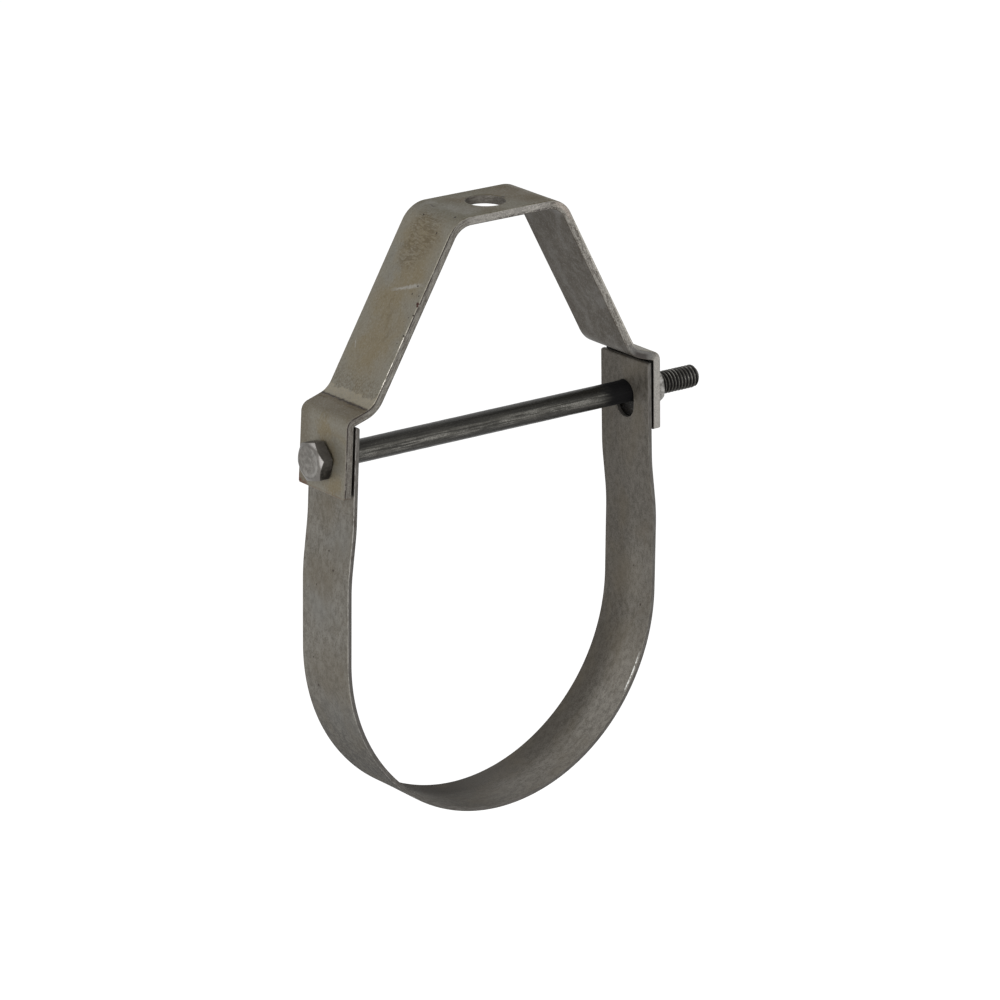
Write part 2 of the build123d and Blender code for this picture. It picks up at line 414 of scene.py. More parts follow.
# Head: each row's radius is the lesser of the hexagon's and the row's own, which cuts the chamfer's arcs.
# Thread: the radius drops by the depth times clip((d - 1/16) / (3/8)), d being the pitches from the crest
def boltMesh(name, b):
    angle, hexagon = hexRing(b)
    corner = b["acrossFlats"] / 2 / math.cos(math.pi / 6)
    slope = math.tan(math.radians(b["chamferAngle"]))
    dish, rim, top, face = b["dish"], b["dishRadius"], b["topRadius"], b["faceRadius"]
    head = [(0, dish), (2, dish), (rim - 0.6, dish), (rim - 0.2, dish * 0.7), (rim + 0.2, dish * 0.2),
            (rim + 0.6, 0), (top - 0.1, 0), (top, 0.02)]
    head += [(r, 0.02 + (r - top) * slope) for r in np.linspace(top + 0.12, corner + 0.02, 14)]
    height, radius, neck = b["headHeight"], b["radius"], b["neckFillet"]
    edge = height - b["washerHeight"]
    head += [(2 * corner, depth) for depth in (1.3, 2.0, 3.0, 4.0, edge - 0.15)]
    under = len(head)
    head += [(corner - 0.1, edge), (face, edge), (face, edge + 0.2), (face - 0.08, height)]
    bends = np.radians([0, 30, 60, 90])
    head += [(radius + neck * (1 - math.sin(a)), height + neck * (1 - math.cos(a))) for a in bends]
    caps, depths = np.array(head).T
    headRadii = np.minimum(hexagon, caps[:, None])
    headRadii[under] -= 0.1 * (hexagon > caps[under] - 0.5)

    end = boltHigh[0]
    threadStart = end - b["threadLength"]
    shankX = np.linspace(boltLow[0] + height + 2 * neck, threadStart, b["shankRows"])
    threadX = np.linspace(threadStart, end, round(b["threadLength"] / b["pitch"] * b["rowsPerPitch"]))[1:]
    alongX = np.concatenate([shankX, threadX])[:, None]
    phase = np.mod((alongX - end) / b["pitch"] - angle / (2 * math.pi), 1)
    drop = b["threadDepth"] * np.clip((np.minimum(phase, 1 - phase) - 1 / 16) / (3 / 8), 0, 1)
    grown = np.clip((alongX - threadStart) / (1.5 * b["pitch"]), 0, 1)
    shank = radius - drop * grown * grown * (3 - 2 * grown)
    shank = np.minimum(shank, b["pointRadius"] + end - alongX)
    tip = np.array([[b["pointRadius"] - 0.3], [1.5], [0]]) * np.ones_like(angle)
    x = np.concatenate([boltLow[0] + depths, alongX[:, 0], [end] * len(tip)])
    return turnedMesh(name, b, x, np.vstack([headRadii, shank, tip]), angle, 1)


nut = {
    "around": 144,
    "acrossFlats": 12.7,
    "turn": 198,
    "chamferAngle": 30,
    "boreRadius": 4.05,
    "mouth": 0.5,
    "scaleDepth": 0.02,
    "scaleSize": 2.2,
    "seed": 41,
}


# A closed profile carried round the axis: face, chamfer, flats, chamfer, face, mouth, bore, mouth.
# Each row's radius is the lesser of the hexagon's and the profile's
def nutMesh(name, n):
    angle, hexagon = hexRing(n)
    flat, bore, mouth = n["acrossFlats"] / 2, n["boreRadius"], n["mouth"]
    corner = flat / math.cos(math.pi / 6)
    slope = math.tan(math.radians(n["chamferAngle"]))
    height = nutHigh[0] - nutLow[0]
    face = [(bore + mouth, 0), (flat - 0.6, 0), (flat - 0.1, 0.015), (flat, 0.05)]
    face += [(r, 0.05 + (r - flat) * slope) for r in np.linspace(flat + 0.1, corner + 0.02, 10)]
    sides = [(2 * corner, depth) for depth in np.linspace(1.0, height - 1.0, 6)]
    farFace = [(r, height - depth) for r, depth in face[::-1]]
    hole = [(bore + mouth / 2, height - mouth / 2), (bore, height - mouth), (bore, mouth)]
    hole += [(bore + mouth / 2, mouth / 2), face[0]]
    caps, depths = np.array(face + sides + farFace + hole).T
    return turnedMesh(name, n, nutLow[0] + depths, np.minimum(hexagon, caps[:, None]), angle, bore + mouth)


def newObject(name, data):
    obj = bpy.data.objects.new(name, data)
    bpy.context.scene.collection.objects.link(obj)
    return obj


# A finished mesh becomes a piece that rides on its body and stands for its CAD node
def makePiece(mesh, body, node):
    piece = newObject(mesh.name, mesh)
    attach(piece, body)
    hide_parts(node)
    return piece


upperYoke = makePiece(stripMesh("upperYokeStrip", yoke), "yoke", "upper_yoke")
lowerStrap = makePiece(stripMesh("lowerStrapStrip", strap), "strap", "lower_strap")
crossBolt = makePiece(boltMesh("crossBoltTurned", bolt), "bolt", "cross_bolt")
hexNut = makePiece(nutMesh("hexNutForged", nut), "nut", "hex_nut")
print("pieces made")


# An sRGB colour, as read off a photograph, in Blender's linear values
def tone(red, green, blue):
    levels = np.array([red, green, blue]) / 255
    linear = np.where(levels <= 0.04045, levels / 12.92, ((levels + 0.055) / 1.055) ** 2.4)
    return (*linear.tolist(), 1.0)


# A node's output. Its arithmetic adds Math nodes to the same tree
class Signal:
    __array_ufunc__ = None  # a numpy number left of a minus sign leaves the work to this class

    def __init__(self, tree, socket):
        self.tree = tree
        self.socket = socket

    def into(self, node, key):
        self.tree.links.new(self.socket, node.inputs[key])

    def math(self, operation, other=0.0):
        return wire(self.tree, "ShaderNodeMath", {0: self, 1: other}, operation=operation)

    def vector(self, operation, other, output=0):
        return wire(self.tree, "ShaderNodeVectorMath", {0: self, 1: other}, output, operation=operation)

    def axis(self, name):
        return wire(self.tree, "ShaderNodeSeparateXYZ", {0: self}, name)

    def __add__(self, other):
        return self.math("ADD", other)

    def __sub__(self, other):
        return self.math("SUBTRACT", other)

    def __rsub__(self, other):
        return self * -1.0 + other

    def __mul__(self, other):
        return self.math("MULTIPLY", other)

    def __abs__(self):
        return self.math("ABSOLUTE")

    # a smooth step from one value at low to another at high; low may be the greater
    def step(self, low, high, atLow=0.0, atHigh=1.0):
        sockets = {0: self, 1: low, 2: high, 3: atLow, 4: atHigh}
        return wire(self.tree, "ShaderNodeMapRange", sockets, interpolation_type="SMOOTHSTEP")

    # 0 before the start, 1 between the two middle values, 0 past the end
    def band(self, start, fullFrom, fullTo, end):
        return self.step(start, fullFrom) * self.step(end, fullTo)


# Adds a node, plugs in signals or plain values, and gives one of its outputs
def wire(tree, kind, inputs, output=0, **settings):
    node = tree.nodes.new(kind)
    for key, value in settings.items():
        setattr(node, key, value)
    for key, value in inputs.items():
        if isinstance(value, Signal):
            value.into(node, key)
        else:
            node.inputs[key].default_value = value
    return Signal(tree, node.outputs[output])


def blend(share, first, second):
    return wire(share.tree, "ShaderNodeMix", {0: share, 6: first, 7: second}, 2, data_type="RGBA")


# A base, given as a colour or the name of a tint, under coats: pairs of a share and a tint's name
def coated(k, base, *coats):
    color = k[base] if isinstance(base, str) else base
    for share, tint in coats:
        color = blend(share, color, k[tint])
    return color


def greatest(signals):
    found = signals[0]
    for signal in signals[1:]:
        found = found.math("MAXIMUM", signal)
    return found


# Noise over a place, in waves per millimetre along each axis
def grain(place, stretch, detail=4.0, roughness=0.55, distortion=0.0):
    sockets = {"Vector": place.vector("MULTIPLY", stretch), "Scale": 1.0, "Detail": detail}
    sockets |= {"Roughness": roughness, "Distortion": distortion}
    return wire(place.tree, "ShaderNodeTexNoise", sockets)


def grains(place, k, *names):
    return [grain(place, *k[name]) for name in names]


# A place shifted by noise of the given size, which frays the edges of what is drawn there
def wobbled(place, size, amount):
    sockets = {"Vector": place, "Scale": 1 / size, "Detail": 3.0}
    shift = wire(place.tree, "ShaderNodeTexNoise", sockets, "Color").vector("SUBTRACT", (0.5, 0.5, 0.5))
    return place.vector("ADD", shift.vector("MULTIPLY", (2 * amount,) * 3))


# Spots (s, y, radius) at one depth: 1 near a spot's centre, 0 past its edge, which is soft by a share of it
def spotsAt(place, depth, spots, soft):
    shares = []
    for s, y, radius in spots:
        away = place.vector("DISTANCE", (s, y, depth), "Value")
        shares.append(away.step(radius * (1 + soft), radius * (1 - soft)))
    return greatest(shares)


# Strokes (s, y, heading, half length, half width): 1 along the middle, fading to 0 at the ends and sides
def strokesAt(place, depth, strokes, fade=0.35):
    full = 0.5 - fade / 2
    shares = []
    for s, y, heading, halfLength, halfWidth in strokes:
        c, n = math.cos(math.radians(heading)), math.sin(math.radians(heading))
        away = place.vector("SUBTRACT", (s, y, depth))
        lengthways = abs(away.vector("DOT_PRODUCT", (c, n, 0), "Value"))
        sideways = abs(away.vector("DOT_PRODUCT", (-n, c, 1), "Value"))
        inside = lengthways.step(halfLength, full * halfLength)
        shares.append(inside * sideways.step(halfWidth, full * halfWidth))
    return greatest(shares)


# Object coordinates in millimetres
def millimetres(tree):
    return wire(tree, "ShaderNodeTexCoord", {}, "Object").vector("MULTIPLY", (1 / mm,) * 3)


# A strip's own coordinates: (s, y, t) on its flat blank, the share of sheared cut, and s, y and t alone
def stripPlace(tree):
    blank = wire(tree, "ShaderNodeAttribute", {}, "Vector", attribute_name="blank")
    cut = wire(tree, "ShaderNodeAttribute", {}, "Fac", attribute_name="cut")
    return blank, cut, blank.axis("X"), blank.axis("Y"), blank.axis("Z")


def newMaterial(name, k):
    made = bpy.data.materials.new(name)
    made.use_nodes = True
    shader = made.node_tree.nodes["Principled BSDF"]
    shader.inputs["Metallic"].default_value = k["metallic"]
    shader.inputs["Specular IOR Level"].default_value = k["specular"]
    return made, made.node_tree, shader


# Heights are pairs of a signal and its reach in millimetres, as bumps one on another
def finishSteel(shader, color, roughness, heights):
    color.into(shader, "Base Color")
    roughness.into(shader, "Roughness")
    below = {}
    for height, reach in heights:
        sockets = {"Height": height, "Distance": reach * mm, "Strength": 1.0} | below
        below = {"Normal": wire(color.tree, "ShaderNodeBump", sockets)}
    below["Normal"].into(shader, "Normal")


# Yoke: hot-rolled steel, olive beige outside with brown and pale stains, darker inside, sheared edges.
# Spots are (s, y, radius), strokes (s, y, heading, half length, half width), and noises (waves per mm,
# detail, roughness, distortion). Stretches run along the strip, in mm from what their comment names
yokeSteel = {
    "cool": tone(118, 114, 103), "warm": tone(116, 107, 87), "plateShaded": tone(85, 80, 62),
    "plateWarm": tone(74, 63, 38), "platePale": tone(116, 114, 106), "inside": tone(77, 73, 66),
    "insidePale": tone(92, 90, 86), "insideBrown": tone(58, 51, 41), "coveredShade": tone(16, 15, 15),
    "cut": tone(122, 119, 112), "cutBright": tone(176, 171, 163), "cutDark": tone(84, 79, 73),
    "cutPale": tone(160, 157, 152), "cutShelf": tone(98, 97, 95), "cutRosyHighlight": tone(164, 155, 146),
    "glint": tone(206, 201, 191), "brown": tone(78, 67, 48), "fold": tone(44, 38, 36),
    "foldPale": tone(148, 141, 124), "rust": tone(84, 50, 36), "rustDark": tone(56, 32, 27),
    "rustPale": tone(100, 84, 68), "pale": tone(158, 157, 154), "pit": tone(38, 30, 27),
    "metallic": 0.5,
    "specular": 0.25,
    "cloud": ((0.075, 0.1, 0.05), 4.0, 0.55, 0.6),
    "blotch": ((0.32, 0.36, 0.3), 5.0, 0.62),
    "speck": ((1.3, 1.5, 1.3), 4.0, 0.65),
    "fine": ((3.4, 3.8, 3.4), 2.0, 0.6),
    "waves": ((0.85, 0.24, 0.8), 3.0, 0.55, 1.6),
    "smudge": ((0.14, 0.16, 0.1), 4.0, 0.6, 1.0),
    "streaks": ((0.3, 1.2, 2.0), 4.0, 0.6),
    "torn": ((2.2, 2.8, 2.8), 4.0, 0.7),
    "dashes": ((0.16, 0.5, 0.5), 4.0, 0.65),
    "wear": ((0.5, 1, 1), 4.0, 0.7),
    "pits": [(78.9, -8.6, 0.3), (75.8, -7.6, 0.32), (75.9, -11.1, 0.25), (69.4, -12.4, 0.32),
             (68.2, -10.7, 0.22), (62.1, -12.2, 0.42), (105.0, -8.7, 0.45), (131.8, 0.3, 0.62),
             (101.6, 4.4, 0.3), (97.2, -6.4, 0.28), (66.5, -9.4, 0.18), (59.0, -10.6, 0.2)],
    "rustDots": [(73.4, -12.1, 0.62), (72.6, -12.4, 0.4)],
    "rustSpots": [(0.0, 12.3, 2.0), (-0.4, 9.2, 1.5), (2.6, 12.8, 0.9)],
    "warmSpots": [(82.3, -3.0, 8.0), (70.0, 1.5, 8.0), (63.0, -2.0, 8.0), (54.0, 0.5, 8.5),
                  (93.0, 0.0, 9.0), (13.0, -2.0, 5.0), (20.5, -1.0, 4.0), (4.5, -6.5, 4.0)],
    "mottle": [(95.5, -0.8, 7.4), (88.0, 1.6, 5.4), (101.0, 3.0, 3.4)],
    "plateWarmSpots": [(118.0, -6.5, 5.0), (137.5, 3.5, 9.0), (141.0, -6.0, 7.0), (116.0, 6.0, 3.6)],
    "platePaleSpots": [(108.5, 0.0, 5.5), (112.5, -5.5, 4.6), (106.0, 8.0, 3.4), (79.5, 7.0, 3.4),
                       (86.0, 9.5, 3.4)],
    "smears": [(77.2, -3.9, -69.5, 9.0, 0.75), (78.2, -6.6, -66.0, 3.6, 0.9), (54.3, 8.7, 20.0, 2.4, 0.3)],
    "scars": [(106.7, 5.6, 80.0, 2.2, 0.5), (33.1, 9.6, 88.0, 3.0, 0.5), (33.1, -6.9, 92.0, 3.0, 0.4)],
    "shades": [(66.0, -1.8, 8.0, 6.0, 1.5), (60.5, -4.4, -12.0, 4.5, 1.3), (70.5, 0.6, -14.0, 4.0, 0.9)],
    "foldS": 34.8,  # the dark crease, from the left end
    "shelfShadeLeft": (24.5, 29.0, 34.8, 35.2),  # the left end
    "earBackShadeLeft": (33.0, 26.0),
    "brightLeft": (34.0, 42.0, 58.0, 68.0),
    "flatTop": (25.0, 16.0),  # the top's middle
    "topBend": 25.0,
    "underTop": (-12.0, 2.0, 18.0, 26.0),
    "earRight": (29.0, 25.0),  # the right end
    "shelfRight": (27.0, 30.0, 37.0, 42.0),
    "shelfShade": (30.0, 32.5, 35.5, 38.0),
    "legRight": (34.0, 42.0),
    "coveredShadeEnds": (27.0, 24.5),  # the nearer end
}


def yokeMaterial(k):
    steel, tree, shader = newMaterial("hotRolledYoke", k)
    blank, cut, along, across, depth = stripPlace(tree)
    cloud, blotch, speck, fine, waves = grains(blank, k, "cloud", "blotch", "speck", "fine", "waves")
    smudge, streaks, torn, dashes, wear = grains(blank, k, "smudge", "streaks", "torn", "dashes", "wear")
    top = yoke["thickness"]
    outside = depth.step(0.4 * top, 0.6 * top)
    fromMiddle, fromRight = along - yokeMiddle, yokeLength - along
    middle = abs(fromMiddle)

    # outer face: cool grey with warm areas, a top darker and browner in its own colour and with painted
    # shade, waves of brown scale, a pale smear and dark scratches
    patches, frayed = wobbled(blank, 5.0, 5.0), wobbled(blank, 1.4, 0.7)
    warmth = spotsAt(patches, top, k["warmSpots"], 0.6) * cloud.step(0.3, 0.55, 0.6, 1.0)
    mottled = spotsAt(wobbled(blank, 3.0, 2.5), top, k["mottle"], 0.45) * waves.step(0.44, 0.56)
    outer = coated(
        k, "cool",
        (greatest([warmth, cloud.step(0.56, 0.72, 0.0, 0.7)]), "warm"),
        (middle.step(*k["flatTop"]), "plateShaded"),
        (spotsAt(patches, top, k["plateWarmSpots"], 0.6) * blotch.step(0.3, 0.55, 0.5, 0.95), "plateWarm"),
        (spotsAt(patches, top, k["platePaleSpots"], 0.8) * blotch.step(0.35, 0.6, 0.2, 0.75), "platePale"),
        (mottled * 0.55, "brown"),
        (strokesAt(frayed, top, k["smears"]) * speck.step(0.3, 0.6, 0.15, 0.7), "pale"),
        (strokesAt(frayed, top, k["scars"]) * 0.7, "fold"),
        (strokesAt(wobbled(blank, 2.5, 2.0), top, k["shades"], 0.9) * 0.3, "brown"),
    )

    # the fold at the left leg's foot: a dark crease, a mark with painted shade in it; painted shade below it,
    # on the shelf and along the ear's back edge; and a frayed pale band above it
    fromFold = frayed.axis("X") - k["foldS"]
    jagged = wobbled(blank, 2.2, 2.6).axis("X") - k["foldS"]
    earBackShade = across.step(4.0, 11.0) * along.step(*k["earBackShadeLeft"])
    paleBand = fromFold.step(0.5, 1.1) * jagged.step(4.6, 3.9)
    outer = coated(
        k, outer,
        (fromFold.band(-3.4, -1.0, 0.3, 0.9) * 0.5, "brown"),
        (greatest([along.band(*k["shelfShadeLeft"]) * 0.55, earBackShade * 0.45]), "brown"),
        (abs(fromFold).step(0.5, 0.15) * blotch.step(0.35, 0.55, 0.55, 0.95), "fold"),
        (paleBand * speck.step(0.38, 0.62, 0.15, 0.8), "foldPale"),
        (jagged.band(3.9, 4.6, 7.0, 12.0) * speck.step(0.42, 0.62, 0.0, 0.36), "brown"),
    )

    # inner face: brown and grey blotches, with painted shade, near black, where the strap's ears lie against
    # it
    fromBend = abs(fromMiddle - k["topBend"])
    inner = coated(
        k, "insideBrown",
        (blotch.step(0.38, 0.6), "inside"),
        (fromBend.step(15.0, 4.0) * blotch.step(0.35, 0.6, 0.35, 0.8), "insideBrown"),
        (smudge.step(0.42, 0.6, 0.0, 0.75), "insideBrown"),
        (cloud.step(0.5, 0.36, 0.0, 0.3), "insidePale"),
        (along.math("MINIMUM", fromRight).step(*k["coveredShadeEnds"]), "coveredShade"),
    )
    color = coated(
        k, blend(outside, inner, outer),
        (speck.step(0.5, 0.75, 0.0, 0.35), "brown"),
        (speck.step(0.5, 0.25, 0.0, 0.22), "pale"),
        (blotch.step(0.52, 0.72, 0.0, 0.22), "brown"),
    )

    # sheared edge: streaks and bright torn grains, paler on the right ear, rosy with a painted highlight on
    # the right top bend, painted shade on the right shelf and along the lower half; painted shade of the burr
    # runs in dark dashes under the left side's bright corner
    onSide = abs(across).step(9.0, 11.0)
    onRight = fromMiddle.step(-16.0, -4.0)
    legRight = fromMiddle.step(27.0, 33.0) * fromRight.step(*k["legRight"])
    shelfShade = fromRight.band(*k["shelfShade"]) * depth.step(2.2, 1.5)
    # a rosy tint with a painted highlight on the right top bend's cut
    rosyHighlight = fromBend.step(7.0, 2.5) * depth.step(0.8, 1.8) * torn.step(0.38, 0.52, 0.35, 0.85)
    underTop = fromMiddle.band(*k["underTop"]) * depth.step(1.1, 0.6) * torn.step(0.56, 0.44, 0.15, 0.75)
    # painted shade of a burr, in dashes under the bright corner
    dashed = depth.band(2.15, 2.45, 2.84, 2.94) * dashes.step(0.42, 0.52) * fromMiddle.step(-16.0, -26.0)
    edge = coated(
        k, "cutDark",
        (streaks.step(0.38, 0.6), "cut"),
        (onSide.step(1.0, 0.0, 0.0, 0.55), "cutDark"),
        (along.step(34.0, 28.0, 0.0, 0.45), "cutDark"),
        (onSide * middle.step(20.0, 13.0) * 0.45, "cutPale"),
        (fromRight.step(*k["earRight"]) * 0.75, "cutPale"),
        (onSide * torn.step(0.48, 0.66) * onRight.step(0.0, 1.0, 0.25, 0.8), "cutBright"),
        (torn.step(0.46, 0.32, 0.0, 0.5), "cutDark"),
        (onSide * legRight * streaks.step(0.42, 0.58, 0.0, 0.25), "cutPale"),
        (fromRight.band(*k["shelfRight"]) * 0.8, "cutShelf"),
        (onSide * shelfShade * 0.7, "pit"),
        (onSide * rosyHighlight, "cutRosyHighlight"),
        (onSide * underTop, "pit"),
        (dashed * 0.85, "pit"),
        (depth.step(0.5, 0.15) * 0.5, "cutDark"),
    )

    # worn corners with a painted glint, a painted glint line on the right leg's cut, painted shade on the
    # left ear's rim, pits, and rust at the left ear's lower back corner
    fromEdge = yoke["width"] / 2 - abs(across)
    worn = wear.step(0.42, 0.58, 0.1, 0.95) * along.band(*k["brightLeft"]).step(0.0, 1.0, 0.16, 1.0)
    wornGlintRim = outside * fromEdge.step(0.3, 0.18) * cut.step(0.6, 0.2)
    outerGlintLine = legRight * cut.step(0.1, 0.5) * depth.step(2.2, 2.5)
    # painted shade that dims the left ear's bright rim
    earRimShade = outside * fromEdge.step(0.36, 0.3) * along.step(31.0, 27.0)
    rusted = spotsAt(wobbled(blank, 1.6, 0.8), top, k["rustSpots"], 0.5)
    color = coated(
        k, blend(cut.step(0.15, 0.6), color, edge),
        (wornGlintRim * worn, "glint"),
        (outerGlintLine * torn.step(0.3, 0.55, 0.1, 0.6), "glint"),
        (earRimShade * cut.step(0.9, 0.5, 0.0, 0.55), "cutDark"),
        (spotsAt(wobbled(blank, 0.8, 0.3), top, k["pits"], 0.4), "pit"),
        (rusted * speck.step(0.3, 0.55, 0.45, 0.85), "rust"),
        (spotsAt(wobbled(blank, 0.8, 0.4), top, k["rustDots"], 0.3), "rustDark"),
        (along.step(1.1, 0.3) * blotch.step(0.4, 0.6, 0.1, 0.6), "rustPale"),
    )
    roughness = cloud.step(0.2, 0.8, 0.42, 0.56) + speck.step(0.4, 0.8, 0.0, 0.12)
    groove = abs(fromFold).step(0.0, 0.9)
    heights = [(fine, 0.015), (speck, 0.02), (groove, 0.12), ((streaks + torn) * cut, 0.06)]
    finishSteel(shader, color, roughness, heights)
    return steel


# Strap: bare strip steel, neutral grey with fine mottling, browner inside, with painted shade round the seat
strapSteel = {
    "light": tone(127, 124, 117), "dark": tone(93, 89, 82), "cool": tone(115, 115, 112),
    "brown": tone(98, 90, 76), "inside": tone(97, 93, 87), "insideDark": tone(68, 64, 58),
    "insidePaintedLight": tone(152, 148, 140), "seatShadeOutside": tone(50, 48, 46), "seatShadeInside": tone(58, 55, 51),
    "coveredShade": tone(16, 15, 15), "cut": tone(106, 103, 99), "cutDark": tone(86, 83, 79),
    "cutLowShade": tone(84, 81, 78), "bright": tone(190, 187, 182), "shine": tone(232, 232, 228),
    "pit": tone(64, 57, 52),
    "metallic": 0.5,
    "specular": 0.04,
    "cloud": ((0.06, 0.1, 0.05), 4.0, 0.55, 0.4),
    "streaks": ((0.36, 0.56, 0.4), 5.0, 0.68),
    "flecks": ((1.7, 1.9, 1.6), 4.0, 0.68),
    "fine": ((3.4, 4.4, 3.4), 2.0, 0.6),
    "lines": ((0.35, 1.2, 2.6), 4.0, 0.62),
    "nicks": ((0.4, 0.6, 0.9), 3.0, 0.65),
    "dashes": ((0.5, 1, 1), 4.0, 0.65),
    "dots": ((0.9, 1.6, 1.6), 2.0, 0.6),
    "pits": [(93.9, 5.4, 0.5), (50.8, -4.1, 0.4), (44.9, -0.8, 0.34), (58.0, 5.0, 0.25), (84.0, 6.6, 0.3)],
    "coolSpots": [(40.0, -7.0, 6.0), (66.0, 2.0, 6.5), (104.0, -4.0, 8.0)],
    "brownSpots": [(88.0, -4.0, 9.0), (54.0, 4.0, 7.0), (31.0, 2.0, 6.0)],
    "innerPits": [(278.0, -7.5, 0.45), (291.0, -3.0, 0.3)],
    "innerWarm": [(262.0, -5.0, 9.0), (286.0, 0.0, 8.0)],
    "nicked": (26.0, 30.0, 44.0, 50.0),  # the left end
    "lowEdgeShade": (20.0, 60.0, 236.0, 262.0),
    "darkRim": (38.0, 30.0),
    "shineAlong": (246.0, 250.0, 258.0, 263.0),
    "shineFront": 12.0,  # the strip's middle, towards the front
    "leftOfBottom": (16.0, -18.0),  # the seat's bottom
    "coveredShadeEnds": (23.6, 22.6),  # the nearer end
}


def strapMaterial(k):
    steel, tree, shader = newMaterial("rolledStrap", k)
    blank, cut, along, across, depth = stripPlace(tree)
    cloud, streaks, flecks, fine = grains(blank, k, "cloud", "streaks", "flecks", "fine")
    lines, nicks, dashes, dots = grains(blank, k, "lines", "nicks", "dashes", "dots")
    patches = wobbled(blank, 6.0, 5.0)
    top = strap["thickness"]
    outside = depth.step(0.6, 1.0)
    fromMiddle = along - strapLength / 2
    fromBottom = abs(fromMiddle)
    mix = (streaks * 0.5 + flecks * 0.5).step(0.38, 0.62)

    # round the seat the light comes off the floor: there the steel is made less metallic and its colour gets
    # painted shade
    seat = fromBottom.step(108.0, 40.0)
    leftOfBottom = fromMiddle.step(*k["leftOfBottom"]) * fromBottom.step(85.0, 45.0)
    innerDull = leftOfBottom * 0.9
    dulled = innerDull + outside * (seat * 0.85 - innerDull)
    ((1.0 - dulled) * k["metallic"]).into(shader, "Metallic")
    # painted light on the inner face, strongest at its front side and fading round the seat
    lit = fromBottom.step(2.0, 78.0, 0.42, 1.0) * fromBottom.step(90.0, 64.0, 0.46, 1.0)
    lit = lit * fromBottom.step(132.0, 108.0, 0.35, 1.0) * (across + cloud * 8.0).step(9.0, -1.0)
    # painted shade along the inner face's back side, low down
    backShade = across.step(0.0, 10.0) * fromBottom.step(100.0, 75.0)
    outer = coated(
        k, "dark",
        (mix, "light"),
        (spotsAt(patches, top, k["coolSpots"], 0.8) * 0.4, "cool"),
        (spotsAt(patches, top, k["brownSpots"], 0.7) * 0.35, "brown"),
        (seat * mix.step(0.0, 1.0, 1.0, 0.45), "seatShadeOutside"),
        # painted shade, near black, where the strap's ears lie against the yoke's ears
        (along.math("MINIMUM", strapLength - along).step(*k["coveredShadeEnds"]), "coveredShade"),
    )
    inner = coated(
        k, "insideDark",
        (mix, "inside"),
        (spotsAt(patches, 0.0, k["innerWarm"], 0.7) * 0.3, "brown"),
        (leftOfBottom * mix.step(0.0, 1.0, 1.0, 0.7), "seatShadeInside"),
        (lit * mix.step(0.0, 1.0, 0.3, 0.68), "insidePaintedLight"),
        (backShade * 0.45, "insideDark"),
    )
    color = coated(
        k, blend(outside, inner, outer),
        (cloud.step(0.45, 0.7, 0.0, 0.3), "brown"),
        (flecks.step(0.56, 0.7, 0.0, 0.6), "insideDark"),
    )

    # sheared edge, plain but for a few dark marks by the left joggle and painted shade along its lower edge
    # round the seat
    lowEdgeShade = along.band(*k["lowEdgeShade"]) * depth.step(1.3, 0.5, 0.3, 1.0)
    edge = coated(
        k, "cutDark",
        (lines.step(0.4, 0.62), "cut"),
        (along.band(*k["nicked"]) * nicks.step(0.5, 0.58) * 0.75, "pit"),
        (lowEdgeShade * (0.8 - fromBottom.step(80.0, 56.0, 0.0, 0.55)), "cutLowShade"),
    )

    # a dark and a thin worn line by the outer corner, and a painted highlight streak inside the right side's
    # front
    fromEdge = strap["width"] / 2 - abs(across)
    atCorner = depth.step(1.25, 1.45)
    dashed = dashes.step(0.4, 0.56)
    darkRim = fromEdge.step(1.1, 0.8) * atCorner * along.step(*k["darkRim"])
    lightRim = fromEdge.step(0.32, 0.18) * atCorner * along.step(190.0, 80.0, 0.4, 1.0)
    shineBand = abs(across + k["shineFront"]).step(0.42, 0.2) * depth.step(0.6, 0.3)
    pitted = wobbled(blank, 0.8, 0.3)
    pits = greatest([spotsAt(pitted, top, k["pits"], 0.5), spotsAt(pitted, 0.0, k["innerPits"], 0.5)])
    color = coated(
        k, blend(cut.step(0.15, 0.6), color, edge),
        (darkRim * dashed.step(0.0, 1.0, 0.75, 0.2), "pit"),
        (lightRim * dashed.step(0.0, 1.0, 0.1, 0.3), "bright"),
        (along.band(*k["shineAlong"]) * shineBand * dots.step(0.42, 0.5, 0.12, 1.0), "shine"),
        (pits, "pit"),
    )
    roughness = streaks.step(0.3, 0.7, 0.38, 0.52) + dulled * 0.25
    heights = [(fine, 0.015), (streaks, 0.03), (flecks, 0.025), (lines * cut, 0.05)]
    finishSteel(shader, color, roughness, heights)
    return steel


# Bolt: dark oxide, rubbed to lighter streaks along the shank in a painted sheen band, bright thread crests
# with painted glints, a satin head with painted highlights and shade
boltSteel = {
    "oxide": tone(70, 68, 63), "oxideDark": tone(44, 43, 39), "rubbed": tone(136, 134, 128),
    "sideShade": tone(34, 33, 31), "earShade": tone(5, 4, 6), "root": tone(34, 33, 32), "crest": tone(94, 92, 87),
    "crestGlint": tone(176, 174, 168), "head": tone(122, 119, 114), "headDark": tone(96, 93, 88),
    "ring": tone(144, 142, 138), "circle": tone(74, 72, 69), "chamfer": tone(100, 97, 93),
    "corner": tone(168, 165, 162), "flank": tone(74, 71, 67), "flankDark": tone(40, 38, 36),
    "metallic": 0.6,
    "specular": 0.4,
    "streaks": ((0.06, 1.6, 1.6), 5.0, 0.66),
    "scuffs": ((0.6, 3.0, 3.0), 4.0, 0.7),
    "fine": ((2.5, 4.0, 4.0), 3.0, 0.6),
    "smudges": ((0.16, 0.3, 0.3), 3.0, 0.6, 0.6),
    "patches": ((0.7, 0.7, 0.7), 4.0, 0.62),
    "earShadeStart": (50.0, 57.0),
    "earShadeEnd": (66.0, 64.5),
}


